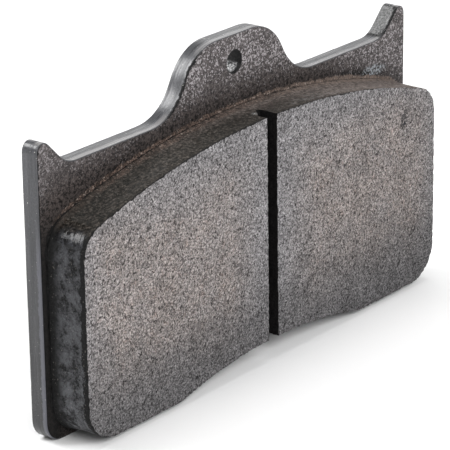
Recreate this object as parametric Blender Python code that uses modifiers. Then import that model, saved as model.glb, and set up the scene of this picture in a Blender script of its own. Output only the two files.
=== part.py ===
"""Brake pad for a fixed caliper: a steel backing plate that carries a bonded, slotted friction block.

+X runs along the pad, +Z points out of the caliper and +Y is the side that the pistons push on.
The origin is the middle of the pad's box, at the height of the plate's lower edge.
"""
import math

import bmesh
import bpy

MM = 0.001

# Layers, from the friction face (-Y) to the plate's back (+Y)
PAD_THICKNESS = 15.2 * MM
PLATE_THICKNESS = 4.3 * MM
UNDERLAYER_THICKNESS = 1.6 * MM
ADHESIVE_THICKNESS = 0.4 * MM
BOND_GAP = 0.3 * MM  # clearance between two bonded neighbours

# Backing plate, seen from the friction side
PLATE_HALF_LENGTH = 69.0 * MM
PLATE_SHOULDER = 63.7 * MM  # height of the straight upper edge
PLATE_CORNER_RADIUS = 5.0 * MM
PLATE_EDGE_BREAK = 0.35 * MM
EAR_FOOT = 59.2 * MM  # where the ear's 45 degree slope starts
EAR_TIP_RADIUS = 2.2 * MM
EAR_FOOT_RADIUS = 7.0 * MM
TAB_TOP = 78.8 * MM
TAB_FOOT_HALF_WIDTH = 23.0 * MM
TAB_TOP_HALF_WIDTH = 14.3 * MM
TAB_RADIUS = 13.0 * MM

# Pin hole in the tab, and the moulding holes that the underlayer fills
PIN_HOLE_RADIUS = 2.75 * MM
PIN_HOLE_HEIGHT = 72.2 * MM
MOULDING_HOLE_RADIUS = 6.0 * MM
PLUG_RADIUS = MOULDING_HOLE_RADIUS - BOND_GAP
MOULDING_HOLES = [(-54.0 * MM, 30.0 * MM), (-17.0 * MM, 33.0 * MM), (17.0 * MM, 33.0 * MM), (54.0 * MM, 30.0 * MM)]

# Friction block
BLOCK_HALF_LENGTH = 67.0 * MM
BLOCK_CROWN = 61.1 * MM  # highest point of the arched upper edge
BLOCK_CROWN_RADIUS = 218.0 * MM
BLOCK_UPPER_CORNER_RADIUS = 7.6 * MM
BLOCK_FOOT = 1.4 * MM  # height of the two flats of the lower edge
BLOCK_LOWER_CORNER_RADIUS = 9.2 * MM
BLOCK_ARCH = 5.6 * MM  # top of the arch in the lower edge
BLOCK_ARCH_RADIUS = 147.0 * MM
BLOCK_ARCH_END_RADIUS = 15.0 * MM
SLOT_WIDTH = 3.7 * MM
SLOT_DEPTH = 5.3 * MM
UNDERLAYER_FLASH = 0.2 * MM  # how far the layers under the block stand out all round
ADHESIVE_FLASH = 0.5 * MM

# Depths of the layers' faces
PLATE_BACK = PAD_THICKNESS / 2
PLATE_FRONT = PLATE_BACK - PLATE_THICKNESS
ADHESIVE_BACK = PLATE_FRONT - BOND_GAP
ADHESIVE_FRONT = ADHESIVE_BACK - ADHESIVE_THICKNESS
UNDERLAYER_BACK = ADHESIVE_FRONT - BOND_GAP
UNDERLAYER_FRONT = UNDERLAYER_BACK - UNDERLAYER_THICKNESS
BLOCK_BACK = UNDERLAYER_FRONT - BOND_GAP
BLOCK_FRONT = -PAD_THICKNESS / 2

ARC_STEP = math.radians(7.5)
HOLE_SIDES = 32
MERGE_DISTANCE = 0.001 * MM
CUT_MARGIN = 2.0 * MM  # how far a cutter runs past the piece


def clear_scene():
    for leftover in list(bpy.data.objects):
        bpy.data.objects.remove(leftover, do_unlink=True)


def new_collection(name):
    collection = bpy.data.collections.new(name)
    bpy.context.scene.collection.children.link(collection)
    return collection


def new_material(name, color, roughness, metallic=0.0):
    material = bpy.data.materials.new(name)
    material.use_nodes = True
    shader = material.node_tree.nodes["Principled BSDF"]
    shader.inputs["Base Color"].default_value = (*color, 1.0)
    shader.inputs["Roughness"].default_value = roughness
    shader.inputs["Metallic"].default_value = metallic
    return material


def rounded_corner(before, corner, after, radius):
    """Points of the arc of the given radius that rounds the outline's corner off."""
    to_before = math.atan2(before[1] - corner[1], before[0] - corner[0])
    to_after = math.atan2(after[1] - corner[1], after[0] - corner[0])
    opening = (to_after - to_before) % math.tau
    if opening > math.pi:
        opening -= math.tau
    bisector = to_before + opening / 2
    reach = radius / math.sin(abs(opening) / 2)
    centre = (corner[0] + reach * math.cos(bisector), corner[1] + reach * math.sin(bisector))
    turn = math.copysign(math.pi - abs(opening), -opening)
    first = bisector + math.pi - turn / 2
    steps = max(2, math.ceil(abs(turn) / ARC_STEP))
    angles = [first + turn * step / steps for step in range(steps + 1)]
    return [(centre[0] + radius * math.cos(a), centre[1] + radius * math.sin(a)) for a in angles]


def rounded_outline(half):
    """Closed outline from its right half: (x, z, corner radius), from the bottom up."""
    mirrored = [(-x, z, radius) for x, z, radius in reversed(half) if x > 0]
    corners = half + mirrored
    outline = []
    for index, (x, z, radius) in enumerate(corners):
        if radius > 0:
            after = corners[(index + 1) % len(corners)]
            outline += rounded_corner(corners[index - 1][:2], (x, z), after[:2], radius)
        else:
            outline.append((x, z))
    return outline


def plate_outline():
    ear_corner = PLATE_SHOULDER + PLATE_HALF_LENGTH - EAR_FOOT
    return rounded_outline([
        (PLATE_HALF_LENGTH, 0.0, PLATE_CORNER_RADIUS),
        (PLATE_HALF_LENGTH, ear_corner, EAR_TIP_RADIUS),
        (EAR_FOOT, PLATE_SHOULDER, EAR_FOOT_RADIUS),
        (TAB_FOOT_HALF_WIDTH, PLATE_SHOULDER, TAB_RADIUS),
        (TAB_TOP_HALF_WIDTH, TAB_TOP, TAB_RADIUS),
    ])


def arc_height(x, top, radius):
    """Height at x of a wide arc whose highest point is over the middle of the pad."""
    return top - radius + math.sqrt(radius ** 2 - x ** 2)


def block_outline(flash=0.0):
    """Outline of the friction block, or of a layer that stands out by the flash all round."""
    end = BLOCK_HALF_LENGTH + flash
    foot = BLOCK_FOOT - flash
    drop = BLOCK_ARCH - BLOCK_FOOT
    arch_end = math.sqrt(BLOCK_ARCH_RADIUS ** 2 - (BLOCK_ARCH_RADIUS - drop) ** 2)
    arch_steps = 8
    crown_steps = 9
    half = []
    for step in range(arch_steps):
        x = arch_end * step / arch_steps
        half.append((x, arc_height(x, BLOCK_ARCH, BLOCK_ARCH_RADIUS) - flash, 0.0))
    half.append((arch_end, foot, BLOCK_ARCH_END_RADIUS))
    half.append((end, foot, BLOCK_LOWER_CORNER_RADIUS))
    half.append((end, arc_height(end, BLOCK_CROWN, BLOCK_CROWN_RADIUS) + flash, BLOCK_UPPER_CORNER_RADIUS))
    for step in reversed(range(crown_steps)):
        x = end * step / crown_steps
        half.append((x, arc_height(x, BLOCK_CROWN, BLOCK_CROWN_RADIUS) + flash, 0.0))
    return rounded_outline(half)


def slab(name, outline, front, back):
    """Flat mesh object with the given XZ outline, between two depths along Y."""
    curve = bpy.data.curves.new(name, "CURVE")
    curve.dimensions = "2D"
    curve.fill_mode = "BOTH"
    curve.extrude = (back - front) / 2
    spline = curve.splines.new("POLY")
    spline.points.add(len(outline) - 1)
    for point, (x, z) in zip(spline.points, outline):
        point.co = (x, z, 0.0, 1.0)
    spline.use_cyclic_u = True
    drawn = bpy.data.objects.new(name + "_outline", curve)
    drawn.location = (0.0, (front + back) / 2, 0.0)
    drawn.rotation_euler = (math.pi / 2, 0.0, 0.0)
    parts.objects.link(drawn)
    bpy.context.view_layer.update()
    graph = bpy.context.evaluated_depsgraph_get()
    mesh = bpy.data.meshes.new_from_object(drawn.evaluated_get(graph))
    shape = bmesh.new()
    shape.from_mesh(mesh)
    bmesh.ops.remove_doubles(shape, verts=shape.verts, dist=MERGE_DISTANCE)
    bmesh.ops.dissolve_limit(shape, angle_limit=math.radians(0.5), verts=shape.verts, edges=shape.edges)
    bmesh.ops.recalc_face_normals(shape, faces=shape.faces)
    shape.to_mesh(mesh)
    shape.free()
    solid = bpy.data.objects.new(name, mesh)
    solid.matrix_world = drawn.matrix_world.copy()
    parts.objects.link(solid)
    bpy.data.objects.remove(drawn)
    bpy.data.curves.remove(curve)
    return solid


def finish_piece(piece, material):
    piece.data.materials.clear()
    piece.data.materials.append(material)
    piece.data.shade_smooth()
    piece.data.set_sharp_from_angle(angle=math.radians(30))


def as_cutter(tool):
    """Keep a Boolean's tool out of the model and out of renders."""
    for owner in list(tool.users_collection):
        owner.objects.unlink(tool)
    cutters.objects.link(tool)
    tool.display_type = "WIRE"
    tool.hide_render = True
    return tool


def round_tool(name, x, z, radius, front, back):
    """Cylinder along Y between two depths."""
    bpy.ops.mesh.primitive_cylinder_add(
        vertices=HOLE_SIDES, radius=radius, depth=back - front,
        location=(x, (front + back) / 2, z), rotation=(math.pi / 2, 0.0, 0.0))
    tool = bpy.context.object
    tool.name = name
    return as_cutter(tool)


def box_tool(name, centre, size):
    bpy.ops.mesh.primitive_cube_add(size=1.0, location=centre)
    tool = bpy.context.object
    tool.name = name
    tool.scale = size
    bpy.ops.object.transform_apply(location=False, rotation=False, scale=True)
    return as_cutter(tool)


def combine(piece, tool, operation):
    boolean = piece.modifiers.new(tool.name, "BOOLEAN")
    boolean.operation = operation
    boolean.solver = "EXACT"
    boolean.object = tool


def cut_moulding_holes(piece, radius, front, back):
    for number, (x, z) in enumerate(MOULDING_HOLES, 1):
        tool = round_tool(f"{piece.name}_hole_{number}", x, z, radius, front - CUT_MARGIN, back + CUT_MARGIN)
        combine(piece, tool, "DIFFERENCE")


def make_backing_plate():
    """Stamped steel plate with two pointed ears and a round-shouldered tab with a pin hole."""
    plate = slab("backing_plate", plate_outline(), PLATE_FRONT, PLATE_BACK)
    pin_hole = round_tool("pin_hole", 0.0, PIN_HOLE_HEIGHT, PIN_HOLE_RADIUS,
                          PLATE_FRONT - CUT_MARGIN, PLATE_BACK + CUT_MARGIN)
    combine(plate, pin_hole, "DIFFERENCE")
    cut_moulding_holes(plate, MOULDING_HOLE_RADIUS, PLATE_FRONT, PLATE_BACK)
    rounding = plate.modifiers.new("edge_break", "BEVEL")
    rounding.width = PLATE_EDGE_BREAK
    rounding.segments = 2
    rounding.limit_method = "ANGLE"
    rounding.angle_limit = math.radians(50)
    finish_piece(plate, new_material("plate_paint", (0.055, 0.052, 0.052), 0.45))


def make_adhesive_layer():
    """Cured film of adhesive, open where the moulding compound runs through the plate."""
    film = slab("adhesive_layer", block_outline(ADHESIVE_FLASH), ADHESIVE_FRONT, ADHESIVE_BACK)
    cut_moulding_holes(film, MOULDING_HOLE_RADIUS, ADHESIVE_FRONT, ADHESIVE_BACK)
    finish_piece(film, new_material("cured_adhesive", (0.16, 0.10, 0.075), 0.7))


def make_underlayer():
    """Moulded layer under the friction block, with the plugs that fill the plate's moulding holes."""
    layer = slab("underlayer", block_outline(UNDERLAYER_FLASH), UNDERLAYER_FRONT, UNDERLAYER_BACK)
    plug_root = (UNDERLAYER_FRONT + UNDERLAYER_BACK) / 2
    for number, (x, z) in enumerate(MOULDING_HOLES, 1):
        plug = round_tool(f"plug_{number}", x, z, PLUG_RADIUS, plug_root, PLATE_BACK - BOND_GAP)
        combine(layer, plug, "UNION")
    finish_piece(layer, new_material("underlayer_compound", (0.09, 0.075, 0.065), 0.85))


def make_friction_block():
    """Friction compound with a sawn slot half way through it."""
    block = slab("friction_block", block_outline(), BLOCK_FRONT, BLOCK_BACK)
    slot_height = 2 * BLOCK_CROWN
    slot = box_tool("slot", (0.0, BLOCK_FRONT, BLOCK_CROWN / 2), (SLOT_WIDTH, 2 * SLOT_DEPTH, slot_height))
    combine(block, slot, "DIFFERENCE")
    finish_piece(block, new_material("friction_compound", (0.24, 0.225, 0.22), 0.9))


clear_scene()
parts = new_collection("brake_pad")
cutters = new_collection("cutters")
make_backing_plate()
make_adhesive_layer()
make_underlayer()
make_friction_block()
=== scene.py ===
"""Looks of the brake pad: ground, granular friction block on a worn, painted steel plate."""
import math

import bmesh
import bpy
import numpy as np
from mathutils import Matrix, Vector
from mathutils.geometry import delaunay_2d_cdt
from mathutils.kdtree import KDTree


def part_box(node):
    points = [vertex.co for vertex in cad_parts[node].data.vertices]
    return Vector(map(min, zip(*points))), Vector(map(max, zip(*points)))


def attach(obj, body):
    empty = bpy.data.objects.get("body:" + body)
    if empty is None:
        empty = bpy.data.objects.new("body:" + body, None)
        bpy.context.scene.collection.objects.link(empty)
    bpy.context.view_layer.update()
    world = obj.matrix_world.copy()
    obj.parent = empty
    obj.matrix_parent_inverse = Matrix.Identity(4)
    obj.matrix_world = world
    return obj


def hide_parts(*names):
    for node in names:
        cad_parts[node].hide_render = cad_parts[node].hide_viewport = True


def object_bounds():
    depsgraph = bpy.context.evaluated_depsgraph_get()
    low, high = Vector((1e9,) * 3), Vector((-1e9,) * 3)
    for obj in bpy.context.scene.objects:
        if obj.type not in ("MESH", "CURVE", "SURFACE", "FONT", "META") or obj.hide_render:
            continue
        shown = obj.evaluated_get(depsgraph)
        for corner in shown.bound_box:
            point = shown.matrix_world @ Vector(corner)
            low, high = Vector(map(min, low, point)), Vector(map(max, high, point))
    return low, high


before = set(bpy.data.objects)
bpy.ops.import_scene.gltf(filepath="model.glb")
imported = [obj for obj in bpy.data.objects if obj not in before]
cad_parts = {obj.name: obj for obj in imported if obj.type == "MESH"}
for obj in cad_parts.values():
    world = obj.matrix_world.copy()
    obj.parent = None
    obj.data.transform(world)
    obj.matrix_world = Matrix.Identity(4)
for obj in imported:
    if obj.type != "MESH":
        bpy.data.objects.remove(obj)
cad_low, cad_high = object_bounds()

MM = 0.001
BODY = "root"
WELD_DISTANCE = 0.001 * MM

# Depths of the layers, from the CAD nodes. -Y is the friction side.
PLATE_LOW, PLATE_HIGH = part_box("backing_plate")
BLOCK_LOW, BLOCK_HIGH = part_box("friction_block")
UNDERLAYER_LOW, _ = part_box("underlayer")
ADHESIVE_LOW, ADHESIVE_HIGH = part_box("adhesive_layer")
PLATE_FRONT = PLATE_LOW.y
PLATE_BACK = PLATE_HIGH.y
BLOCK_FRONT = BLOCK_LOW.y

# Mesh density
BLOCK_FACE_STEP = 0.42 * MM
BLOCK_WALL_STEP = 0.4 * MM
PLATE_FACE_STEP = 0.62 * MM
PLATE_EDGE_STEP = 0.5 * MM
LAYER_STEP = 0.45 * MM
HIDDEN_STEP = 2.5 * MM

# The slot sawn into the block
SLOT_HALF_WIDTH = 1.85 * MM
SLOT_FLOOR = BLOCK_FRONT + 5.3 * MM

# How the friction block widens to meet the underlayer behind it
BLOCK_FLARE = 0.2 * MM
BLOCK_FLARE_AT_BACK = 0.08 * MM
UNDERLAYER_FLARE = 0.25 * MM

# Marks on the ground face: place (x, z), half width, half height, strength
SMUDGES = [
    (53.8 * MM, 46.3 * MM, 1.7 * MM, 2.7 * MM, 0.95),
    (54.3 * MM, 53.1 * MM, 1.0 * MM, 1.7 * MM, 0.45),
    (44.3 * MM, 50.1 * MM, 1.3 * MM, 1.1 * MM, 0.45),
]

# The lamps stand round this point
LAMP_CENTRE = Vector((0.0, 0.0, 0.035))

# Grid of a flat sheet, in steps: random shift of its points, and their distance from the rim
SHEET_JITTER = 0.16
SHEET_CLEARANCE = 0.6

# Numbers that scramble a cell's place and a seed into a random number
HASH_FACTORS = (73856093, 19349663, 83492791, 2654435761)
HASH_MIXER = 1274126177


# ---------------------------------------------------------------- noise on points

def lattice_values(cells, seed):
    """Repeatable random number between -1 and 1 for each whole-number cell."""
    by_x, by_y, by_z, by_seed = HASH_FACTORS
    mixed = cells[:, 0] * by_x ^ cells[:, 1] * by_y ^ cells[:, 2] * by_z ^ seed * by_seed
    mixed = (mixed ^ (mixed >> 13)) * HASH_MIXER & 0xFFFFFFFF
    mixed = (mixed ^ (mixed >> 16)) & 0xFFFFFF
    return mixed / 0x7FFFFF - 1.0


def smooth_noise(points, size, seed=0):
    """Smooth noise between about -1 and 1 with features of the given size, at an array of points."""
    scaled = np.asarray(points, float) / size
    base = np.floor(scaled).astype(np.int64)
    part = scaled - base
    ease = part * part * (3 - 2 * part)
    total = np.zeros(len(scaled))
    for corner in range(8):
        offset = np.array([corner & 1, corner >> 1 & 1, corner >> 2 & 1])
        weight = np.prod(np.where(offset == 1, ease, 1 - ease), axis=1)
        total += weight * lattice_values(base + offset, seed)
    return total


# ---------------------------------------------------------------- outlines

def signed_area(loop):
    ahead = np.roll(loop, -1, axis=0)
    return 0.5 * np.sum(loop[:, 0] * ahead[:, 1] - ahead[:, 0] * loop[:, 1])


def section_loops(node, depth):
    """Loops of (x, z) points where a CAD node is cut at one depth: the outline, then its holes.

    The outline runs anticlockwise and holes clockwise, so that the material is on the left."""
    cut = bmesh.new()
    cut.from_mesh(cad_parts[node].data)
    bmesh.ops.remove_doubles(cut, verts=cut.verts, dist=WELD_DISTANCE)
    sliced = bmesh.ops.bisect_plane(
        cut, geom=cut.verts[:] + cut.edges[:] + cut.faces[:], dist=WELD_DISTANCE,
        plane_co=(0.0, depth, 0.0), plane_no=(0.0, 1.0, 0.0))
    edges = {item for item in sliced["geom_cut"] if isinstance(item, bmesh.types.BMEdge)}
    loops = []
    while edges:
        edge = min(edges, key=lambda item: item.index)
        edges.remove(edge)
        start, vertex = edge.verts
        walked = [start.co.xz[:], vertex.co.xz[:]]
        while vertex != start:
            edge = next(item for item in vertex.link_edges if item in edges)
            edges.remove(edge)
            vertex = edge.other_vert(vertex)
            walked.append(vertex.co.xz[:])
        loops.append(np.array(walked[:-1]))
    cut.free()
    loops.sort(key=lambda loop: -abs(signed_area(loop)))
    for index, loop in enumerate(loops):
        if (signed_area(loop) > 0) != (index == 0):
            loops[index] = loop[::-1].copy()
    return loops


def even_loop(loop, step, reach=0.0):
    """The loop with evenly spaced points, its facets smoothed over the given reach."""
    closed = np.vstack([loop, loop[:1]])
    run = np.concatenate([[0.0], np.cumsum(np.hypot(*np.diff(closed, axis=0).T))])
    count = max(12, round(run[-1] / step))
    places = np.arange(count) * run[-1] / count
    even = np.stack([np.interp(places, run, closed[:, axis]) for axis in (0, 1)], axis=1)
    for _ in range(round(2 * (reach / step) ** 2)):
        even = (np.roll(even, 1, axis=0) + 2 * even + np.roll(even, -1, axis=0)) / 4
    return even


def inset(loop, amount):
    """The loop moved into the material by an amount, one number or one per point."""
    along = np.roll(loop, -1, axis=0) - np.roll(loop, 1, axis=0)
    along /= np.hypot(*along.T)[:, None]
    into = np.stack([-along[:, 1], along[:, 0]], axis=1)
    return loop + into * np.reshape(amount, (-1, 1))


def inside(points, loop):
    """True for each (x, z) point that the loop surrounds."""
    ahead = np.roll(loop, -1, axis=0)
    result = np.zeros(len(points), bool)
    for (x0, z0), (x1, z1) in zip(loop, ahead):
        crosses = (z0 > points[:, 1]) != (z1 > points[:, 1])
        if z0 != z1:
            at = x0 + (points[:, 1] - z0) * (x1 - x0) / (z1 - z0)
            result ^= crosses & (points[:, 0] < at)
    return result


# ---------------------------------------------------------------- solids

def sheet(loops, depth, step, seed):
    """Evenly triangulated flat sheet inside the first loop and outside the others."""
    low = loops[0].min(axis=0)
    high = loops[0].max(axis=0)
    row_height = step * math.sqrt(3) / 2
    columns = np.arange(low[0], high[0], step)
    rows = np.arange(low[1], high[1], row_height)
    x, z = np.meshgrid(columns, rows)
    x = x + (np.arange(len(rows)) % 2)[:, None] * step / 2
    grid = np.stack([x.ravel(), z.ravel()], axis=1)
    grid += np.random.default_rng(seed).uniform(-SHEET_JITTER, SHEET_JITTER, grid.shape) * step
    rim = np.vstack(loops)
    tree = KDTree(len(rim))
    for index, (px, pz) in enumerate(rim):
        tree.insert((px, pz, 0.0), index)
    tree.balance()
    clear = [tree.find((px, pz, 0.0))[2] > SHEET_CLEARANCE * step for px, pz in grid]
    points = np.vstack([rim, grid[clear]])
    edges = []
    first = 0
    for loop in loops:
        count = len(loop)
        edges += [(first + i, first + (i + 1) % count) for i in range(count)]
        first += count
    flat, _, faces, _, _, _ = delaunay_2d_cdt([Vector(p) for p in points], edges, [], 1, 1e-9)
    flat = np.array(flat)
    faces = np.array(faces)
    centres = flat[faces].mean(axis=1)
    keep = np.ones(len(faces), bool)
    for hole in loops[1:]:
        keep &= ~inside(centres, hole)
    vertices = np.stack([flat[:, 0], np.full(len(flat), depth), flat[:, 1]], axis=1)
    return vertices, faces[keep]


def layered_solid(name, loops, profiles, steps, seed=0):
    """Solid between two sheets. Each loop has a profile of (inset, depth) rings from front to back.

    Materials: 0 front sheet, 1 walls round the outline, 2 back sheet, 3 walls of the holes."""
    vertices = []
    faces = []
    zones = []

    def add(new_vertices, new_faces, zone):
        first = len(vertices)
        vertices.extend(map(tuple, new_vertices))
        faces.extend(tuple(int(i) + first for i in face) for face in new_faces)
        zones.extend([zone] * len(new_faces))

    for end, zone, step in ((0, 0, steps[0]), (-1, 2, steps[1])):
        rims = [inset(loop, profile[end][0]) for loop, profile in zip(loops, profiles)]
        points, triangles = sheet(rims, profiles[0][end][1], step, seed + zone)
        if zone == 2:
            triangles = triangles[:, ::-1]
        add(points, triangles, zone)
    for index, (loop, profile) in enumerate(zip(loops, profiles)):
        count = len(loop)
        rings = []
        for amount, depth in profile:
            ring = inset(loop, amount)
            rings.append(np.stack([ring[:, 0], np.full(count, depth), ring[:, 1]], axis=1))
        quads = []
        for row in range(len(rings) - 1):
            for i in range(count):
                j = (i + 1) % count
                a, b = row * count, (row + 1) * count
                quads.append((a + j, a + i, b + i, b + j))
        add(np.vstack(rings), quads, 1 if index == 0 else 3)
    mesh = bpy.data.meshes.new(name)
    mesh.from_pydata(vertices, [], faces)
    mesh.polygons.foreach_set("material_index", zones)
    shape = bmesh.new()
    shape.from_mesh(mesh)
    bmesh.ops.remove_doubles(shape, verts=shape.verts, dist=WELD_DISTANCE)
    loose = [vertex for vertex in shape.verts if not vertex.link_faces]
    bmesh.ops.delete(shape, geom=loose, context="VERTS")
    bmesh.ops.recalc_face_normals(shape, faces=shape.faces)
    shape.to_mesh(mesh)
    shape.free()
    mesh.shade_smooth()
    piece = bpy.data.objects.new(name, mesh)
    bpy.context.scene.collection.objects.link(piece)
    return piece


def coordinates(piece):
    points = np.empty(len(piece.data.vertices) * 3)
    piece.data.vertices.foreach_get("co", points)
    return points.reshape(-1, 3)


def normals(piece):
    directions = np.empty(len(piece.data.vertices) * 3)
    piece.data.vertices.foreach_get("normal", directions)
    return directions.reshape(-1, 3)


def move_in(piece, depth):
    """Push each vertex into the piece, against its normal, by its own depth."""
    moved = coordinates(piece) - normals(piece) * np.reshape(depth, (-1, 1))
    piece.data.vertices.foreach_set("co", moved.ravel())
    piece.data.update()


def keep_in_box(piece):
    """Bring in any vertex that texture has pushed past the CAD model's box."""
    points = np.clip(coordinates(piece), cad_low, cad_high)
    piece.data.vertices.foreach_set("co", points.ravel())
    piece.data.update()


def rounded_profile(front_round, back_round, front, back, step):
    """Wall profile with a quarter round at each end."""
    rings = []
    corner_steps = 5
    for i in range(corner_steps):
        angle = math.pi / 2 * i / corner_steps
        amount = front_round * (1 - math.sin(angle))
        rings.append((amount, front + front_round * (1 - math.cos(angle))))
    straight = back - back_round - front - front_round
    rows = round((back - front) / step)
    for i in range(rows + 1):
        rings.append((0.0, front + front_round + straight * i / rows))
    for i in range(1, corner_steps + 1):
        angle = math.pi / 2 * i / corner_steps
        amount = back_round * (1 - math.cos(angle))
        rings.append((amount, back - back_round * (1 - math.sin(angle))))
    return rings


# ---------------------------------------------------------------- material nodes

class Look:
    """Short names for the nodes of one procedural material in object coordinates."""

    def __init__(self, name):
        self.material = bpy.data.materials.new(name)
        self.material.use_nodes = True
        self.tree = self.material.node_tree
        self.shader = self.tree.nodes["Principled BSDF"]
        self.place = self.tree.nodes.new("ShaderNodeTexCoord").outputs["Object"]

    def add(self, kind, inputs=None, **settings):
        node = self.tree.nodes.new(kind)
        for key, value in settings.items():
            setattr(node, key, value)
        for key, value in (inputs or {}).items():
            self.put(node.inputs[key], value)
        return node

    @staticmethod
    def color(value):
        """A colour from three numbers, or a grey from one."""
        red, green, blue = value if isinstance(value, tuple) else (value, value, value)
        return (red, green, blue, 1.0)

    def put(self, socket, value):
        if isinstance(value, bpy.types.NodeSocket):
            self.tree.links.new(value, socket)
        elif socket.type == "RGBA":
            socket.default_value = self.color(value)
        else:
            socket.default_value = value

    def noise(self, size, detail=2.0, rough=0.5, stretch=None, turn=0.0):
        """Noise with features of the given size in metres, 0 to 1. The turn is about the Y axis."""
        place = self.place
        if turn:
            turned = self.add("ShaderNodeMapping", {"Vector": place, "Rotation": (0.0, turn, 0.0)})
            place = turned.outputs["Vector"]
        if stretch:
            place = self.add("ShaderNodeMapping", {"Vector": place, "Scale": stretch}).outputs["Vector"]
        node = self.add("ShaderNodeTexNoise", {
            "Vector": place, "Scale": 1.0 / size, "Detail": detail, "Roughness": rough})
        return node.outputs["Fac"]

    def grains(self, size):
        """Random number from 0 to 1 for each grain of the given size in metres."""
        node = self.add("ShaderNodeTexVoronoi", {"Vector": self.place, "Scale": 1.0 / size})
        parted = self.add("ShaderNodeSeparateColor", {"Color": node.outputs["Color"]})
        return parted.outputs["Red"]

    def ramp(self, factor, stops):
        """Colour for a factor, from (factor, colour or grey) stops."""
        node = self.add("ShaderNodeValToRGB", {"Fac": factor})
        ramp = node.color_ramp
        while len(ramp.elements) < len(stops):
            ramp.elements.new(0.5)
        for element, (position, value) in zip(ramp.elements, stops):
            element.position = position
            element.color = self.color(value)
        return node.outputs["Color"]

    def mix(self, factor, a, b, how="MIX"):
        """From a to b as the factor goes from 0 to 1."""
        node = self.add("ShaderNodeMix", data_type="RGBA", blend_type=how, clamp_result=True)
        self.put(node.inputs[0], factor)
        self.put(node.inputs[6], a)
        self.put(node.inputs[7], b)
        return node.outputs[2]

    def tinted(self, color, by):
        return self.mix(1.0, color, by, "MULTIPLY")

    def math(self, operation, a, b=0.0):
        node = self.add("ShaderNodeMath", operation=operation)
        self.put(node.inputs[0], a)
        self.put(node.inputs[1], b)
        return node.outputs[0]

    def times(self, first, *factors):
        for factor in factors:
            first = self.math("MULTIPLY", first, factor)
        return first

    def plus(self, a, b):
        return self.math("ADD", a, b)

    def minus(self, a, b):
        return self.math("SUBTRACT", a, b)

    def length(self, vector):
        return self.add("ShaderNodeVectorMath", {0: vector}, operation="LENGTH").outputs["Value"]

    def step(self, value, low, high):
        """0 below low, 1 above high, and smooth between them."""
        node = self.add("ShaderNodeMapRange", {"Value": value, "From Min": low, "From Max": high},
                        interpolation_type="SMOOTHSTEP")
        return node.outputs["Result"]

    def axes(self):
        """Object coordinates x, y and z."""
        return self.add("ShaderNodeSeparateXYZ", {"Vector": self.place}).outputs[:3]

    def facing(self, axis):
        """Component of the surface's direction, in the part's own axes."""
        direction = self.tree.nodes.new("ShaderNodeTexCoord").outputs["Normal"]
        return self.add("ShaderNodeSeparateXYZ", {"Vector": direction}).outputs[axis]

    def span(self, value, low, high):
        """The value's place between low and high, 0 to 1."""
        node = self.add("ShaderNodeMapRange", {"Value": value, "From Min": low, "From Max": high})
        return node.outputs["Result"]

    def spot(self, x, z, wide, high, ragged):
        """1 inside an upright ellipse in the X-Z plane, 0 outside, with a ragged edge."""
        place = self.add("ShaderNodeMapping", {
            "Vector": self.place, "Scale": (1 / wide, 0.0, 1 / high),
            "Location": (-x / wide, 0.0, -z / high)})
        reach = self.plus(self.length(place.outputs["Vector"]), self.times(ragged, 1.6))
        return self.step(reach, 1.9, 1.3)

    def attribute(self, name):
        return self.add("ShaderNodeAttribute", attribute_name=name).outputs["Fac"]

    def bump(self, height, depth, strength=1.0, after=None):
        """Normal for a height of 0 to 1 that stands for the given depth in metres."""
        node = self.add("ShaderNodeBump", {"Height": height, "Distance": depth, "Strength": strength})
        if after:
            self.put(node.inputs["Normal"], after)
        return node.outputs["Normal"]

    def rust(self, grain):
        """Colours of the granular rust and glue above the block, paler towards +X."""
        rust = self.ramp(grain, [(0.38, (0.008, 0.006, 0.005)), (0.52, (0.080, 0.056, 0.046)),
                                 (0.62, (0.225, 0.160, 0.130))])
        pale = self.times(self.step(self.axes()[0], -20 * MM, 45 * MM), 0.5)
        rust = self.mix(pale, rust, (0.200, 0.158, 0.135))
        patch = self.times(self.step(self.noise(2.6 * MM, detail=3.0), 0.54, 0.62), 0.6)
        patch = self.times(patch, self.step(self.axes()[0], 40 * MM, 0.0))
        rust = self.mix(patch, rust, (0.012, 0.010, 0.009))
        speck = self.step(self.noise(0.62 * MM, detail=1.5), 0.62, 0.68)
        rust = self.mix(self.times(speck, 0.8), rust, (0.30, 0.25, 0.22))
        gap = self.times(self.step(self.noise(1.1 * MM, detail=3.0, rough=0.7), 0.53, 0.60), 0.75)
        return self.mix(gap, rust, (0.006, 0.005, 0.005))

    def finish(self, color, roughness, normal=None, **constants):
        self.put(self.shader.inputs["Base Color"], color)
        self.put(self.shader.inputs["Roughness"], roughness)
        if normal:
            self.put(self.shader.inputs["Normal"], normal)
        for key, value in constants.items():
            self.shader.inputs[key.replace("_", " ")].default_value = value
        return self.material


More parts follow.
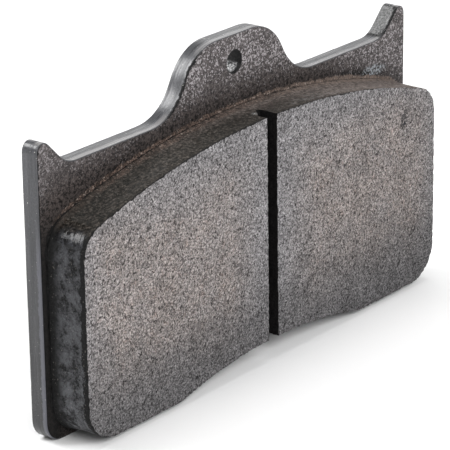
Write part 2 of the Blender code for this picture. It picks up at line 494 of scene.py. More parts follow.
def ground_compound():
    """Ground friction face: grey grains with dark pits and pale fibres, warm in the middle of each half."""
    look = Look("ground_compound")
    across, _, up = look.axes()
    coarse = look.grains(0.58 * MM)
    fine = look.grains(0.36 * MM)
    speck = look.noise(0.47 * MM, detail=3.0, rough=0.8)
    value = look.mix(0.5, look.ramp(coarse, [(0.0, 0.020), (0.5, 0.17), (1.0, 0.52)]),
                     look.ramp(fine, [(0.0, 0.010), (0.5, 0.17), (1.0, 0.64)]))
    value = look.mix(0.55, value, look.ramp(speck, [(0.36, 0.0), (0.5, 0.16), (0.64, 0.66)]))
    mottle = look.noise(3.0 * MM, detail=5.0, rough=0.7)
    value = look.tinted(value, look.ramp(mottle, [(0.30, 0.62), (0.50, 0.90), (0.64, 1.0)]))
    pit = look.step(look.noise(0.85 * MM, detail=2.5, rough=0.65), 0.58, 0.64)
    value = look.mix(look.times(pit, 0.85), value, (0.016, 0.014, 0.015))
    scratch_noise = look.noise(0.75 * MM, detail=1.5, rough=0.5, stretch=(1.0, 1.0, 0.32), turn=-0.6)
    scratch = look.step(scratch_noise, 0.66, 0.70)
    value = look.mix(look.times(scratch, 0.8), value, (0.015, 0.014, 0.014))
    smudge = 0.0
    for x, z, wide, high, strength in SMUDGES:
        mark_here = look.times(look.spot(x, z, wide, high, mottle), strength)
        smudge = look.math("MAXIMUM", smudge, mark_here)
    smudge = look.times(smudge, look.step(speck, 0.64, 0.48))
    value = look.mix(smudge, value, (0.020, 0.023, 0.027))
    fibre_noise = look.noise(0.50 * MM, detail=2.0, rough=0.5, stretch=(1.0, 1.0, 0.45))
    fibre = look.step(fibre_noise, 0.64, 0.70)
    value = look.mix(look.times(fibre, 0.55), value, (0.50, 0.49, 0.48))

    # Painted shade: darker towards the lower edge, as the light from above falls off.
    painted_shade_low = look.ramp(look.span(up, 0.0, 40 * MM),
                     [(0.05, 0.50), (0.35, 0.68), (0.58, 0.92), (0.72, 1.0)])
    value = look.tinted(value, painted_shade_low)
    cloud_value = look.ramp(look.noise(5.5 * MM, detail=4.0, rough=0.6), [(0.34, 0.86), (0.60, 1.0)])
    value = look.tinted(value, cloud_value)
    end_value = look.ramp(look.span(across, 30 * MM, 52 * MM), [(0.0, 1.0), (1.0, 0.93)])
    value = look.tinted(value, end_value)
    aside = look.math("ABSOLUTE", across)
    cloud = look.ramp(look.noise(9.0 * MM, detail=3.0, rough=0.6), [(0.32, 0.55), (0.62, 1.0)])
    warm = look.times(look.step(aside, 2 * MM, 20 * MM), look.step(aside, 71 * MM, 56 * MM),
                      look.step(up, 3 * MM, 24 * MM), look.step(up, 60 * MM, 42 * MM), cloud)
    color = look.tinted(value, look.mix(warm, (0.860, 0.830, 0.850), (1.0, 0.892, 0.850)))
    pink = look.times(look.step(look.noise(1.3 * MM, detail=4.0, rough=0.7), 0.54, 0.62), warm)
    color = look.mix(look.times(pink, 0.6), color, look.tinted(color, (1.0, 0.87, 0.82)))
    height = look.mix(0.5, speck, fine)
    height = look.mix(pit, height, 0.0)
    normal = look.bump(height, 0.14 * MM, 1.0)
    return look.finish(color, 0.95, normal, Specular_IOR_Level=0.15)


def moulded_compound():
    """Moulded sides: near black at the plate, a painted contact shadow, smeared in the middle, torn and
    dark at the ground edge.

    The upper side is brown, and dustier towards +X. The skin shines on its rounded corners."""
    look = Look("moulded_compound")
    across, through, up = look.axes()
    upward = look.facing("Z")
    facing_up = look.step(upward, 0.55, 0.95)
    corner = look.times(look.step(upward, 0.25, 0.5), look.step(upward, 0.99, 0.90))
    grain = look.noise(0.45 * MM, detail=3.0, rough=0.75)
    dark_base_and_shade = look.ramp(grain, [(0.42, 0.001), (0.66, 0.009)])
    ragged = look.plus(through, look.times(grain, 1.5 * MM))
    tear_noise = look.noise(1.8 * MM, detail=6.0, rough=0.8)
    torn = look.plus(through, look.times(tear_noise, 3.2 * MM))
    # Painted shade: near the plate the smears stop and the side keeps its near-black colour, standing in
    # for the contact shadow.
    near_plate = look.step(torn, 0.4 * MM, 3.6 * MM)
    edge_noise = look.noise(2.4 * MM, detail=6.0, rough=0.85, stretch=(1.0, 1.0, 0.6))
    torn_edge = look.plus(through, look.times(edge_noise, -5.0 * MM))
    near_face = look.step(torn_edge, -8.5 * MM, -8.8 * MM)
    off_face = look.minus(1.0, near_face)
    middle = look.times(look.minus(1.0, near_plate), off_face)
    smear_noise = look.noise(2.6 * MM, detail=8.0, rough=0.82)
    smear = look.times(look.step(smear_noise, 0.38, 0.60), middle)
    smeared = look.ramp(grain, [(0.35, (0.029, 0.030, 0.034)), (0.65, (0.054, 0.055, 0.061))])
    # Painted reflection: smears grow paler and bluer towards the floor, standing in for the floor's light
    # on the lower side.
    pale = look.times(look.step(up, 34 * MM, 8 * MM), 0.35)
    smeared = look.mix(pale, smeared, (0.085, 0.087, 0.094))
    side = look.mix(smear, dark_base_and_shade, smeared)

    coarse = look.noise(0.70 * MM, detail=4.0, rough=0.75)
    brown = look.ramp(coarse, [(0.38, (0.003, 0.003, 0.002)), (0.52, (0.020, 0.017, 0.014)),
                               (0.66, (0.080, 0.069, 0.060))])
    dusty = look.ramp(coarse, [(0.36, (0.026, 0.021, 0.019)), (0.52, (0.110, 0.089, 0.080)),
                               (0.66, (0.230, 0.194, 0.174))])
    drift = look.noise(7.0 * MM, detail=4.0, rough=0.6)
    dust_place = look.plus(across, look.times(drift, 40 * MM))
    top = look.mix(look.step(dust_place, 5 * MM, 75 * MM), brown, dusty)
    settled = look.times(look.step(torn, -1.2 * MM, 2.6 * MM), look.step(dust_place, -22 * MM, 30 * MM))
    top = look.mix(look.times(settled, 0.75), top, dusty)
    bloom = look.times(look.step(ragged, 0.9 * MM, 2.2 * MM), look.step(dust_place, -60 * MM, 0.0))
    top = look.mix(look.times(bloom, 0.75), top, look.rust(look.noise(0.52 * MM, detail=4.0, rough=0.8)))
    rim = look.plus(through, look.times(look.noise(0.9 * MM, detail=3.0, rough=0.7), -1.6 * MM))
    dark_rim = look.times(look.step(rim, -7.85 * MM, -8.05 * MM), look.step(across, 52 * MM, 36 * MM))
    top = look.mix(look.times(dark_rim, 0.85), top, 0.005)

    # Pale crumbs where the upper corner of the slot has chipped.
    chip_x = -1.1 * MM
    chip_y = -3.4 * MM
    offset = look.add("ShaderNodeCombineXYZ", {
        "X": look.minus(across, chip_x), "Y": look.minus(through, chip_y)}).outputs[0]
    away = look.plus(look.length(offset), look.times(coarse, 1.6 * MM))
    crumbs = look.times(look.step(away, 1.75 * MM, 1.45 * MM), look.step(up, 40 * MM, 50 * MM))
    crumb_color = look.ramp(grain, [(0.42, 0.02), (0.58, (0.44, 0.43, 0.42))])
    top = look.mix(crumbs, top, crumb_color)
    color = look.mix(facing_up, side, top)
    speck = look.step(look.noise(0.45 * MM, detail=1.0), 0.70, 0.76)
    color = look.mix(look.times(speck, 0.5), color, (0.20, 0.18, 0.16))

    polished = look.times(corner, off_face, look.step(torn, 4.2 * MM, 2.4 * MM))
    skin = look.math("MAXIMUM", polished, look.times(smear, 0.75))
    rough = look.mix(skin, 0.95, 0.18)
    lumps = look.noise(1.6 * MM, detail=2.0, stretch=(0.6, 1.7, 0.6))
    fine_bump = look.mix(skin, look.mix(0.5, grain, coarse), 0.5)
    normal = look.bump(fine_bump, 0.18 * MM, 0.8, after=look.bump(lumps, 0.16 * MM, 0.8))
    return look.finish(color, rough, normal, Specular_IOR_Level=0.28)


def slot_compound():
    """Walls of the sawn slot: near black, a painted shade for the shadow deep in the slot, over the
    compound.
    """
    look = Look("slot_compound")
    grain = look.noise(0.5 * MM, detail=3.0, rough=0.7)
    # Painted shade: the near-black colour stands in for the slot's shadow.
    color = look.ramp(grain, [(0.3, 0.003), (0.7, (0.012, 0.011, 0.011))])
    normal = look.bump(grain, 0.12 * MM, 0.8)
    return look.finish(color, 1.0, normal, Specular_IOR_Level=0.05)


def squeezed_glue():
    """Granular glue at the foot of the block: rusty with pale specks above, near black at the sides as
    painted shade.
    """
    look = Look("squeezed_glue")
    facing_up = look.step(look.facing("Z"), 0.75, 0.95)
    grain = look.noise(0.50 * MM, detail=3.0, rough=0.8)
    # Painted shade: the sides of the bead, deep in the corner, are near black.
    dark_base_and_shade = look.ramp(grain, [(0.35, 0.002), (0.68, 0.015)])
    color = look.mix(facing_up, dark_base_and_shade, look.rust(grain))
    normal = look.bump(grain, 0.18 * MM, 0.9)
    return look.finish(color, 0.90, normal, Specular_IOR_Level=0.2)


def worn_face_paint():
    """Bond side of the plate: blasted, painted steel with pale rubbed grains away from the block.

    Glue and rust creep out above the block, and the paint has torn along the stamped edge."""
    look = Look("worn_face_paint")
    across, _, up = look.axes()
    away = look.attribute("away_from_block")
    from_rim = look.attribute("from_rim")
    grain = look.noise(0.36 * MM, detail=3.0, rough=0.75)
    patch = look.noise(8.0 * MM, detail=4.0, rough=0.6)

    # Rubbing reaches further down towards +X, and the narrow strip beside the block is painted black as
    # shade.
    rightward = look.times(look.step(across, 25 * MM, 58 * MM), 4.5 * MM)
    leftward = look.times(look.step(across, -40 * MM, -64 * MM), -2.5 * MM)
    reach = look.plus(away, look.plus(rightward, leftward))
    rubbed = look.step(reach, 0.5 * MM, 11 * MM)
    strip = look.times(look.step(across, -62 * MM, -66 * MM), look.step(up, 58 * MM, 42 * MM))

    blast = look.noise(0.62 * MM, detail=4.0, rough=0.8)
    base = look.ramp(blast, [(0.43, (0.003, 0.002, 0.002)), (0.58, (0.064, 0.052, 0.048))])
    hazy = look.ramp(blast, [(0.41, (0.026, 0.023, 0.023)), (0.60, (0.094, 0.083, 0.083))])
    base = look.mix(rubbed, base, hazy)
    # Painted shade: the base darkens close to the block, where the block's step shades the plate.
    foot = look.ramp(look.span(away, 0.5 * MM, 4.5 * MM), [(0.0, 0.65), (1.0, 1.0)])
    base = look.tinted(base, foot)
    speck_noise = look.noise(0.45 * MM, detail=2.0, rough=0.7, stretch=(0.85, 1.0, 1.0))
    worn = look.plus(look.times(rubbed, 0.11), look.times(patch, 0.22))
    level = look.minus(look.plus(speck_noise, worn), 0.75)
    strength = look.ramp(look.span(reach, 1.0 * MM, 10 * MM), [(0.0, 0.22), (0.5, 0.60), (1.0, 1.0)])
    fading = look.ramp(look.span(across, -66 * MM, -30 * MM), [(0.0, 0.6), (1.0, 1.0)])
    strength = look.times(strength, fading)
    speck = look.times(look.step(level, -0.01, 0.06), strength)
    color = look.mix(speck, base, (0.285, 0.266, 0.273))
    # Painted shade: the narrow strip between the plate's -X end and the block is near black.
    color = look.mix(look.times(strip, 0.85), color, 0.004)
    scuff = look.spot(55.5 * MM, 56.2 * MM, 5.5 * MM, 1.6 * MM, patch)
    scuffed_grain = look.times(scuff, look.step(speck_noise, 0.44, 0.54))
    color = look.mix(look.times(scuffed_grain, 0.85), color, (0.27, 0.29, 0.31))
    # Dark ragged patch just above the block towards +X.
    dark_ragged_patch = look.times(look.step(across, 40 * MM, 45 * MM), look.step(across, 57 * MM, 52 * MM),
                         look.step(away, 3.0 * MM, 1.4 * MM), look.step(speck_noise, 0.58, 0.47))
    color = look.mix(look.times(dark_ragged_patch, 0.9), color, 0.004)

    creep = look.plus(away, look.times(look.noise(1.3 * MM, detail=4.0, rough=0.8), -1.7 * MM))
    above = look.times(look.step(up, 46 * MM, 53 * MM), look.step(across, -66 * MM, -58 * MM))
    broken = look.times(look.noise(4.0 * MM, detail=4.0, rough=0.7), -1.6 * MM)
    rusty = look.times(look.step(look.plus(creep, broken), -0.45 * MM, -0.90 * MM), above)
    color = look.mix(rusty, color, look.rust(look.noise(0.48 * MM, detail=3.0, rough=0.8)))
    width_noise = look.times(look.noise(1.8 * MM, detail=6.0, rough=0.8), -2.8 * MM)
    tear = look.step(look.plus(from_rim, width_noise), -0.80 * MM, -0.95 * MM)
    tear = look.times(tear, look.step(look.attribute("faces_left"), 0.20, 0.60))
    color = look.mix(tear, color, 0.003)
    normal = look.bump(grain, 0.12 * MM, 0.8)
    rough = look.mix(strip, 0.75, 1.0)
    return look.finish(color, rough, normal, Specular_IOR_Level=0.2)


def edge_paint():
    """Cut edges of the plate: glossy paint in streaks along the edge, torn at the front.

    It is dark low down, with a painted highlight band along the front of the -X end, and bare on the +X
    ear's slope."""
    look = Look("edge_paint")
    across, through, up = look.axes()
    streak = look.noise(1.3 * MM, detail=4.0, rough=0.65, stretch=(0.07, 2.2, 0.07))
    grain = look.noise(0.50 * MM, detail=3.0, rough=0.7)
    streaked = look.ramp(streak, [(0.36, (0.016, 0.017, 0.019)), (0.50, (0.040, 0.041, 0.046)),
                                  (0.62, (0.110, 0.110, 0.116))])
    grainy = look.ramp(grain, [(0.36, (0.020, 0.021, 0.024)), (0.64, (0.072, 0.073, 0.082))])
    color = look.mix(0.5, streaked, grainy)
    shade = look.ramp(look.span(up, 0.0, 62 * MM), [(0.0, 0.22), (0.6, 0.55), (1.0, 1.0)])
    color = look.tinted(color, shade)

    # Sheared edges are paler at the front and have a dark line where the shear ended.
    wander = look.times(look.noise(6.0 * MM, detail=3.0, rough=0.6), 1.6 * MM)
    shear = look.minus(look.plus(through, wander), 0.8 * MM)
    facing_up = look.step(look.facing("Z"), 0.80, 0.95)
    behind = look.times(look.step(shear, 5.6 * MM, 6.3 * MM), facing_up)
    behind_strength = look.ramp(look.span(across, -40 * MM, -20 * MM), [(0.0, 0.0), (1.0, 0.45)])
    color = look.mix(look.times(behind, behind_strength), color, (0.020, 0.021, 0.023))
    line = look.times(look.step(shear, 5.2 * MM, 5.4 * MM), look.step(shear, 5.95 * MM, 5.75 * MM))
    line = look.times(line, look.step(look.noise(5.0 * MM, detail=2.0), 0.40, 0.55))
    color = look.mix(look.times(line, facing_up, 0.8), color, (0.010, 0.010, 0.011))
    pale_front = look.times(look.step(shear, 5.2 * MM, 4.4 * MM), facing_up)
    paleness = look.ramp(look.span(across, -40 * MM, -20 * MM), [(0.0, 0.75), (1.0, 0.62)])
    color = look.mix(look.times(pale_front, paleness), color, (0.205, 0.198, 0.198))

    front = look.minus(through, PLATE_FRONT)
    ragged = look.minus(front, look.times(look.noise(1.1 * MM, detail=5.0, rough=0.8), 2.0 * MM))
    # Painted highlight: a pale bluish band stands in for the glint on the rounded front rim at the -X end.
    low_end = look.times(look.step(across, -64 * MM, -67 * MM), look.step(up, 55 * MM, 40 * MM))
    painted_rim_highlight = look.times(look.step(ragged, 0.15 * MM, -0.05 * MM), low_end)
    color = look.mix(painted_rim_highlight, color, (0.072, 0.073, 0.088))
    tear = look.step(ragged, -0.56 * MM, -0.70 * MM)
    tear = look.times(tear, look.ramp(look.span(across, -67 * MM, -63 * MM), [(0.0, 0.15), (1.0, 1.0)]))
    tear = look.times(tear, look.step(look.attribute("faces_left"), 0.20, 0.60))
    slope = look.minus(look.facing("Z"), look.facing("X"))
    bare_edge = look.minus(front, look.times(look.noise(1.6 * MM, detail=5.0, rough=0.8), 5.0 * MM))
    ear = look.times(look.step(across, 58 * MM, 59 * MM), look.step(bare_edge, -1.65 * MM, -1.50 * MM))
    slope = look.plus(slope, look.times(grain, 0.12))
    bare = look.times(look.step(slope, 1.38, 1.42), ear)
    ear_slope = look.times(look.step(across, 58 * MM, 59 * MM), look.step(slope, 1.22, 1.34))
    color = look.mix(look.times(ear_slope, 0.9), color, 0.008)
    bare_color = look.ramp(grain, [(0.36, 0.035), (0.64, 0.19)])
    color = look.mix(bare, color, bare_color)
    color = look.mix(tear, color, 0.006)
    chip = look.step(look.noise(0.6 * MM, detail=2.0), 0.71, 0.74)
    color = look.mix(look.times(chip, 0.8), color, (0.42, 0.41, 0.39))
    rough = look.ramp(streak, [(0.38, 0.42), (0.60, 0.22)])
    rough = look.mix(bare, rough, 0.7)
    rough = look.mix(tear, rough, 1.0)
    normal = look.bump(look.mix(0.5, streak, grain), 0.04 * MM, 0.6)
    return look.finish(color, rough, normal, Specular_IOR_Level=0.55)


def bore_paint():
    """Walls of the holes: black, with bright grains painted in as light where they face up."""
    look = Look("bore_paint")
    grain = look.noise(0.5 * MM, detail=3.0, rough=0.7)
    dark = look.ramp(grain, [(0.4, 0.003), (0.7, 0.020)])
    bright = look.ramp(grain, [(0.40, 0.02), (0.50, (0.16, 0.16, 0.165)), (0.62, 0.50)])
    deep = look.plus(look.axes()[1], look.times(look.noise(0.8 * MM), 0.6 * MM))
    # Painted light: the upward-facing wall, back from the front rim, gets bright grains as if lit from
    # above.
    lit = look.times(look.step(look.facing("Z"), 0.25, 0.65), look.step(deep, 4.5 * MM, 4.9 * MM))
    color = look.mix(lit, dark, bright)
    normal = look.bump(grain, 0.08 * MM, 0.7)
    return look.finish(color, 0.60, normal, Specular_IOR_Level=0.25)


def back_paint():
    """Back of the plate: even dark coat with a fine orange peel and light handling marks."""
    look = Look("back_paint")
    peel = look.noise(0.7 * MM, detail=2.0)
    patch = look.noise(9.0 * MM, detail=4.0, rough=0.6)
    color = look.ramp(patch, [(0.35, (0.016, 0.016, 0.017)), (0.65, (0.028, 0.028, 0.029))])
    scuff_noise = look.noise(1.6 * MM, detail=3.0, rough=0.6, stretch=(0.18, 1.0, 1.2))
    scuff = look.step(scuff_noise, 0.66, 0.74)
    color = look.mix(look.times(scuff, 0.5), color, 0.10)
    rough = look.ramp(patch, [(0.3, 0.38), (0.7, 0.52)])
    normal = look.bump(peel, 0.03 * MM, 0.6)
    return look.finish(color, rough, normal, Specular_IOR_Level=0.45)


# ---------------------------------------------------------------- pieces

def dress(piece, materials):
    for material in materials:
        piece.data.materials.append(material)
    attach(piece, BODY)


def nearest(points, loop):
    """For each (x, z) point: the number of the loop's nearest point, and its distance."""
    tree = KDTree(len(loop))
    for index, (x, z) in enumerate(loop):
        tree.insert((x, z, 0.0), index)
    tree.balance()
    found = [tree.find((x, z, 0.0)) for x, z in points]
    return np.array([item[1] for item in found]), np.array([item[2] for item in found])


def distance_outside(points, loop):
    """How far (x, z) points lie outside a loop, 0 inside it."""
    _, distances = nearest(points, loop)
    return np.where(inside(points, loop), 0.0, distances)


def mark(piece, name, values):
    """Give a piece a number at each vertex for its materials to read."""
    attribute = piece.data.attributes.new(name, "FLOAT", "POINT")
    attribute.data.foreach_set("value", values.astype(np.float32))


def make_plate():
    """Stamped plate: slightly rounded front edges, sharper back edges, blasted faces under thin paint."""
    middle = (PLATE_FRONT + PLATE_BACK) / 2
    loops = section_loops("backing_plate", middle)
    outline = even_loop(loops[0], PLATE_EDGE_STEP, 0.5 * MM)
    holes = [even_loop(loop, 0.35 * MM) for loop in loops[1:]]
    profiles = [rounded_profile(0.22 * MM, 0.1 * MM, PLATE_FRONT, PLATE_BACK, 0.35 * MM)]
    profiles += [rounded_profile(0.2 * MM, 0.2 * MM, PLATE_FRONT, PLATE_BACK, 0.6 * MM) for _ in holes]
    steps = (PLATE_FACE_STEP, PLATE_FACE_STEP)
    plate = layered_solid("plate", [outline] + holes, profiles, steps, seed=1)
    points = coordinates(plate)
    facing = normals(plate)
    flat = np.abs(facing[:, 1]) > 0.8
    blast = smooth_noise(points, 0.9 * MM, 1) * 0.5 + smooth_noise(points, 2.2 * MM, 2) * 0.5
    sheared = smooth_noise(points * [0.25, 1.0, 0.25], 0.7 * MM, 3)
    wave = smooth_noise(points, 6.0 * MM, 4)
    depth = np.where(flat, 0.03 + 0.03 * blast, 0.02 * sheared + 0.02 * wave) * MM
    move_in(plate, depth)
    keep_in_box(plate)
    in_underlayer = (UNDERLAYER_LOW.y * 3 + PLATE_FRONT) / 4
    block_outline = even_loop(section_loops("underlayer", in_underlayer)[0], MM)
    mark(plate, "away_from_block", distance_outside(points[:, [0, 2]], block_outline))
    rim_index, rim_distance = nearest(points[:, [0, 2]], outline)
    along = np.roll(outline, -1, axis=0) - np.roll(outline, 1, axis=0)
    leftward = -along[:, 1] / np.hypot(*along.T)
    mark(plate, "from_rim", rim_distance)
    mark(plate, "faces_left", np.clip(leftward, 0.0, 1.0)[rim_index])
    dress(plate, [worn_face_paint(), edge_paint(), back_paint(), bore_paint()])
    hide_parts("backing_plate")


def pits(points):
    return smooth_noise(points, 0.85 * MM, 14) + 0.6 * smooth_noise(points, 0.5 * MM, 15)


def skin_depth(points):
    """How far the moulded skin of the block and its underlayer lies below their outline."""
    waves = smooth_noise(points, 5.0 * MM, 16) + 0.5 * smooth_noise(points, 1.6 * MM, 17)
    return (0.02 + 0.06 * waves + 0.10 * np.clip(pits(points) - 0.7, 0, None)) * MM


def make_adhesive():
    """Film of glue squeezed out round the foot of the block in a rough, granular bead."""
    middle = (ADHESIVE_LOW.y + ADHESIVE_HIGH.y) / 2
    outline = even_loop(section_loops("adhesive_layer", middle)[0], LAYER_STEP, 0.4 * MM)
    shape = [(0.55, -1.0), (0.35, -0.8), (0.15, -0.5), (0.0, -0.2), (0.0, 0.05)]
    profile = [(amount * MM, PLATE_FRONT + depth * MM) for amount, depth in shape]
    steps = (HIDDEN_STEP, HIDDEN_STEP)
    film = layered_solid("adhesive_squeeze_out", [outline], [profile], steps, seed=5)
    points = coordinates(film)
    lumps = smooth_noise(points, 1.1 * MM, 5) + 0.6 * smooth_noise(points, 0.6 * MM, 6)
    on_wall = np.abs(normals(film)[:, 1]) < 0.95
    move_in(film, np.where(on_wall, np.clip(0.22 + 0.22 * lumps, 0, None), 0.0) * MM)
    dress(film, [squeezed_glue()] * 3)
    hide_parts("adhesive_layer")


def make_underlayer(compound):
    """Underlayer, which shares the block's moulded skin: it tapers in where the two overlap.

    Behind the block it flares out to its foot."""
    depth = UNDERLAYER_LOW.y + 0.8 * MM
    outline = even_loop(section_loops("underlayer", depth)[0], LAYER_STEP, 0.4 * MM)
    depths = np.linspace(UNDERLAYER_LOW.y - 1.0 * MM, PLATE_FRONT - 0.6 * MM, 9)
    below = depths - UNDERLAYER_LOW.y
    flare = np.where(below > 0.0, -UNDERLAYER_FLARE * (below / (2.0 * MM)) ** 2, -0.18 * below)
    profile = [(float(amount), float(depth)) for amount, depth in zip(flare, depths)]
    steps = (HIDDEN_STEP, HIDDEN_STEP)
    layer = layered_solid("underlayer_band", [outline], [profile], steps, seed=9)
    points = coordinates(layer)
    on_wall = np.abs(normals(layer)[:, 1]) < 0.95
    move_in(layer, np.where(on_wall, skin_depth(points), 0.0))
    dress(layer, [compound] * 3)
    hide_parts("underlayer")


def make_plugs(compound):
    """Ends of the compound that fills the plate's moulding holes."""
    holes = section_loops("underlayer", (PLATE_FRONT + PLATE_BACK) / 2)
    for number, loop in enumerate(sorted(holes, key=lambda item: item[:, 0].mean()), 1):
        if signed_area(loop) < 0:
            loop = loop[::-1]
        centre = loop.mean(axis=0)
        wide = centre + (loop - centre) * 1.05
        rim = even_loop(wide, 0.4 * MM)
        end = PLATE_BACK - 0.18 * MM
        start = PLATE_FRONT - 0.3 * MM
        profile = [(0.0, start), (0.0, (start + end) / 2), (0.0, end - 0.25 * MM), (0.2 * MM, end)]
        name = f"moulded_plug_{number}"
        plug = layered_solid(name, [rim], [profile], (HIDDEN_STEP, 0.4 * MM), seed=20 + number)
        points = coordinates(plug)
        lumps = smooth_noise(points, 0.9 * MM, 9) + smooth_noise(points, 2.4 * MM, 10)
        on_end = normals(plug)[:, 1] > 0.6
        move_in(plug, np.where(on_end, np.clip(0.10 + 0.09 * lumps, 0, None), 0.0) * MM)
        dress(plug, [compound] * 3)
        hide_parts("underlayer")


def make_block(compound):
    """Friction block: ground face with a crumbly rim, moulded sides and a sawn slot.

    Its sides flare out to the underlayer's wider outline, and the last ring tucks in under that."""
    depth = BLOCK_HIGH.y - 1.0 * MM
    outline = even_loop(section_loops("friction_block", depth)[0], BLOCK_WALL_STEP, 0.4 * MM)
    on_rim = np.stack([outline[:, 0], np.full(len(outline), BLOCK_FRONT), outline[:, 1]], axis=1)
    crumble = smooth_noise(on_rim, 0.9 * MM, 11) + 0.9 * smooth_noise(on_rim, 0.4 * MM, 12)
    ragged = np.clip(0.05 + 0.32 * crumble, 0.0, None) * MM
    back = UNDERLAYER_LOW.y + 0.1 * MM
    rows = round((back - BLOCK_FRONT) / BLOCK_WALL_STEP)
    profile = [(ragged, BLOCK_FRONT), (0.35 * ragged, BLOCK_FRONT + 0.12 * MM)]
    profile += [(-BLOCK_FLARE * (i / rows) ** 6, BLOCK_FRONT + (back - BLOCK_FRONT) * i / rows)
                for i in range(1, rows)]
    profile += [(-BLOCK_FLARE_AT_BACK, back)]
    steps = (BLOCK_FACE_STEP, HIDDEN_STEP)
    block = layered_solid("friction_material", [outline], [profile], steps, seed=13)
    points = coordinates(block)
    facing = normals(block)
    on_face = facing[:, 1] < -0.7
    on_back = facing[:, 1] > 0.7
    face_depth = (0.02 + 0.10 * np.clip(pits(points) - 0.35, 0, None)) * MM
    move_in(block, np.where(on_face, face_depth, np.where(on_back, 0.0, skin_depth(points))))
    keep_in_box(block)
    saw_slot(block)
    dress(block, [ground_compound(), compound, compound, slot_compound()])
    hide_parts("friction_block")


def saw_slot(block):
    """Cut the slot with a rough-walled tool. It widens and gets rougher at the upper mouth."""
    low = BLOCK_LOW.z - 3.0 * MM
    high = BLOCK_HIGH.z + 3.0 * MM
    corners = np.array([(-SLOT_HALF_WIDTH, low), (SLOT_HALF_WIDTH, low),
                        (SLOT_HALF_WIDTH, high), (-SLOT_HALF_WIDTH, high)])
    front = BLOCK_FRONT - 2.0 * MM
    rows = round((SLOT_FLOOR - front) / LAYER_STEP)
    profile = [(0.0, front + (SLOT_FLOOR - front) * i / rows) for i in range(rows + 1)]
    rim = even_loop(corners, LAYER_STEP)
    blade = layered_solid("blade", [rim], [profile], (LAYER_STEP, LAYER_STEP), seed=17)
    points = coordinates(blade)
    tear = smooth_noise(points, 0.9 * MM, 18) + 0.7 * smooth_noise(points, 0.45 * MM, 19)
    mouth_low = BLOCK_HIGH.z - 1.4 * MM
    mouth_blend = 1.2 * MM
    mouth = np.clip((points[:, 2] - mouth_low) / mouth_blend, 0, 1)
    move_in(blade, (0.14 * tear - mouth * (0.16 + 0.26 * tear)) * MM)

    # At the mouth the cut leaves the deep -X corner standing.
    points = coordinates(blade)
    standing_from = BLOCK_FRONT + 2.5 * MM
    standing_width = 1.5 * SLOT_HALF_WIDTH
    into_corner = np.clip((points[:, 1] - standing_from) / (SLOT_FLOOR - standing_from), 0, 1)
    share = np.clip((SLOT_HALF_WIDTH - points[:, 0]) / (2 * SLOT_HALF_WIDTH), 0, 1)
    points[:, 0] += share * into_corner * mouth * standing_width
    blade.data.vertices.foreach_set("co", points.ravel())
    blade.data.update()
    blade.data.polygons.foreach_set("material_index", [3] * len(blade.data.polygons))
    cut = block.modifiers.new("slot", "BOOLEAN")
    cut.object = blade
    cut.operation = "DIFFERENCE"
    cut.solver = "EXACT"
    bpy.context.view_layer.update()
    graph = bpy.context.evaluated_depsgraph_get()
    cut_mesh = bpy.data.meshes.new_from_object(block.evaluated_get(graph))
    block.modifiers.remove(cut)
    whole = block.data
    block.data = cut_mesh
    bpy.data.meshes.remove(whole)
    bpy.data.objects.remove(blade)


# ---------------------------------------------------------------- stage

def make_floor():
    bpy.ops.mesh.primitive_plane_add(size=6.0, location=(0.0, 0.0, 0.0))
    floor = bpy.context.object
    floor.name = "floor"
    look = Look("floor_white")
    floor.data.materials.append(look.finish(0.9, 0.9, Specular_IOR_Level=0.0))


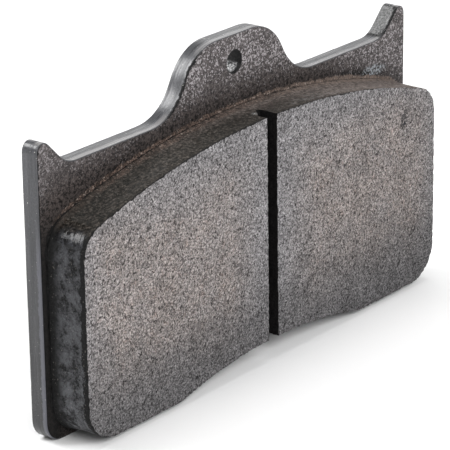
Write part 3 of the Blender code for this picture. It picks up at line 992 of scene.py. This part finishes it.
def make_world():
    """Dim grey studio whose walls are white near the floor."""
    world = bpy.data.worlds.new("studio")
    world.use_nodes = True
    tree = world.node_tree
    place = tree.nodes.new("ShaderNodeTexCoord").outputs["Generated"]
    parted = tree.nodes.new("ShaderNodeSeparateXYZ")
    tree.links.new(place, parted.inputs[0])
    wall = tree.nodes.new("ShaderNodeMapRange")
    wall.interpolation_type = "SMOOTHSTEP"
    for key, value in {"From Min": 0.05, "From Max": 0.16, "To Min": 1.0, "To Max": 0.35}.items():
        wall.inputs[key].default_value = value
    tree.links.new(parted.outputs["Z"], wall.inputs["Value"])
    tree.links.new(wall.outputs["Result"], tree.nodes["Background"].inputs["Strength"])
    tree.nodes["Background"].inputs["Color"].default_value = (1.0, 1.0, 1.0, 1.0)
    bpy.context.scene.world = world


def softbox(name, direction, distance, size, brightness):
    """Rectangular lamp in a direction from the part, with the given brightness as a light source."""
    away = Vector(direction).normalized()
    data = bpy.data.lights.new(name, "AREA")
    data.shape = "RECTANGLE"
    data.size, data.size_y = size
    data.energy = brightness * math.pi * size[0] * size[1]
    lamp = bpy.data.objects.new(name, data)
    lamp.location = LAMP_CENTRE + away * distance
    lamp.rotation_euler = away.to_track_quat("Z", "Y").to_euler()
    bpy.context.scene.collection.objects.link(lamp)


def make_lights():
    make_world()
    softbox("front_key", (-0.35, -0.85, 0.60), 1.0, (0.7, 0.5), 9.0)
    softbox("overhead", (0.15, 0.10, 1.0), 0.9, (0.5, 0.4), 5.0)
    softbox("back_left_strip", (-0.375, 0.583, 0.72), 1.0, (0.52, 0.42), 10.0)
    softbox("back_right", (0.68, 0.583, 0.45), 1.0, (0.40, 0.40), 1.5)
    bpy.context.scene.view_settings.view_transform = "Standard"


def make_camera():
    """Long lens, from the left front and above."""
    azimuth = math.radians(-51.58)
    elevation = math.radians(20.13)
    roll = math.radians(-0.8)
    aim = Vector((-4.38, 3.3, 33.15)) * MM
    distance = 651.1 * MM
    outward = Vector((math.sin(azimuth) * math.cos(elevation),
                      -math.cos(azimuth) * math.cos(elevation), math.sin(elevation)))
    data = bpy.data.cameras.new("camera")
    data.sensor_width = 36.0
    data.lens = 221.3
    data.clip_start = 0.01
    camera = bpy.data.objects.new("camera", data)
    turned = outward.to_track_quat("Z", "Y").to_matrix() @ Matrix.Rotation(roll, 3, "Z")
    camera.matrix_world = Matrix.Translation(aim + outward * distance) @ turned.to_4x4()
    bpy.context.scene.collection.objects.link(camera)
    bpy.context.scene.camera = camera


make_camera()
make_lights()
make_floor()
make_plate()
make_adhesive()
moulded = moulded_compound()
make_underlayer(moulded)
make_plugs(moulded)
make_block(moulded)
